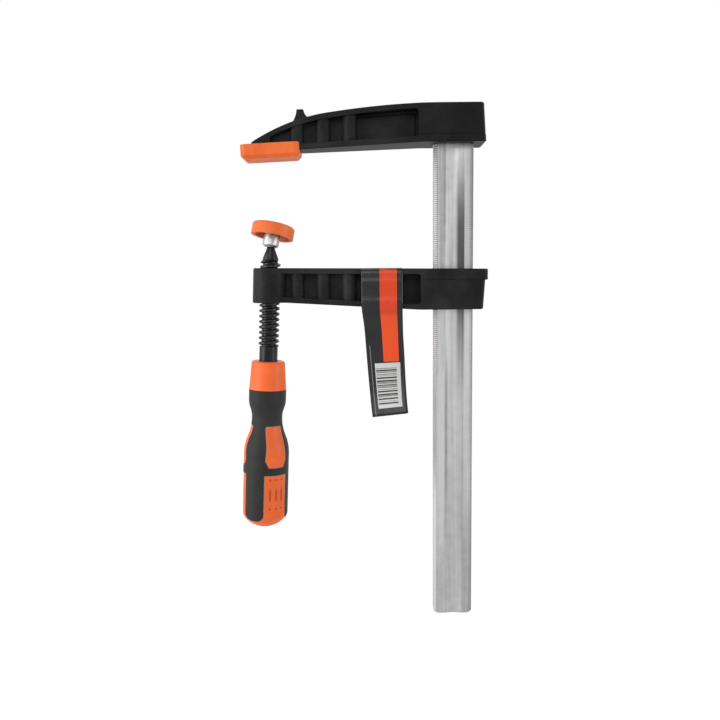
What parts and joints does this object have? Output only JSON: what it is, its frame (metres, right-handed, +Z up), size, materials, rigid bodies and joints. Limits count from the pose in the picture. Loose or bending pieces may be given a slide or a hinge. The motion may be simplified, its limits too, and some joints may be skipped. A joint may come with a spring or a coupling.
{
  "type": "screw clamp",
  "caption": "Sliding-arm screw clamp: serrated flat rail, fixed ribbed jaw with plastic cap, sliding arm, screw with two-colour handle, swivel shoe and hang tag.",
  "frame": {"origin": "on the clamping face of the fixed jaw's cap, in line with the screw", "axes": "+X from the jaw's tip towards the rail, +Y away from the viewer, +Z up along the rail"},
  "size_m": [0.1825, 0.0341, 0.378],
  "materials": {
    "zinc_steel": "drawn steel bar, bright zinc plating, satin",
    "black_casting": "malleable iron casting, satin black paint over a fine sand texture",
    "orange_cap": "moulded orange plastic, satin",
    "black_steel": "rolled steel screw, blackened, oiled",
    "spring_steel": "spring steel, plain",
    "zinc_shoe": "turned and pressed steel, bright zinc plating",
    "orange_handle": "hard orange plastic, semi-gloss",
    "dark_grip": "soft dark grey plastic, matt",
    "printed_film": "dark printed film with an orange stripe and a white panel, glossy"
  },
  "bodies": {
    "frame": {"rail": "zinc_steel", "fixed_jaw": "black_casting", "jaw_cap": "orange_cap"},
    "arm": {"sliding_arm": "black_casting", "hang_tag": "printed_film"},
    "retainer": {"ball_retainer": "spring_steel"},
    "screw": {"spindle": "black_steel", "handle_core": "orange_handle", "handle_grip": "dark_grip"},
    "shoe": {"swivel_shoe": "zinc_shoe", "pad_cap": "orange_cap"}
  },
  "joints": [
    {"name": "arm_slide", "type": "slide", "parent": "frame", "child": "arm", "axis": [0, 0, 1], "range_m": [-0.228, 0.008]},
    {"name": "spindle_feed", "type": "slide", "parent": "arm", "child": "retainer", "axis": [0.0445, 0, 0.999], "range_m": [-0.013, 0.031]},
    {"name": "spindle_turn", "type": "hinge", "parent": "retainer", "child": "screw", "pos_m": [0.00139, 0, -0.05888], "axis": [0.0445, 0, 0.999], "range_deg": [-1170, 2790]},
    {"name": "shoe_tilt", "type": "hinge", "parent": "retainer", "child": "shoe", "pos_m": [0.00139, 0, -0.05888], "axis": [-0.7513, 0.6592, 0.0335], "range_deg": [-26.8, 3.1]}
  ],
  "couplings": [
    {"joint": "spindle_feed", "follows": "spindle_turn", "m_per_rad": 0.0006366}
  ]
}
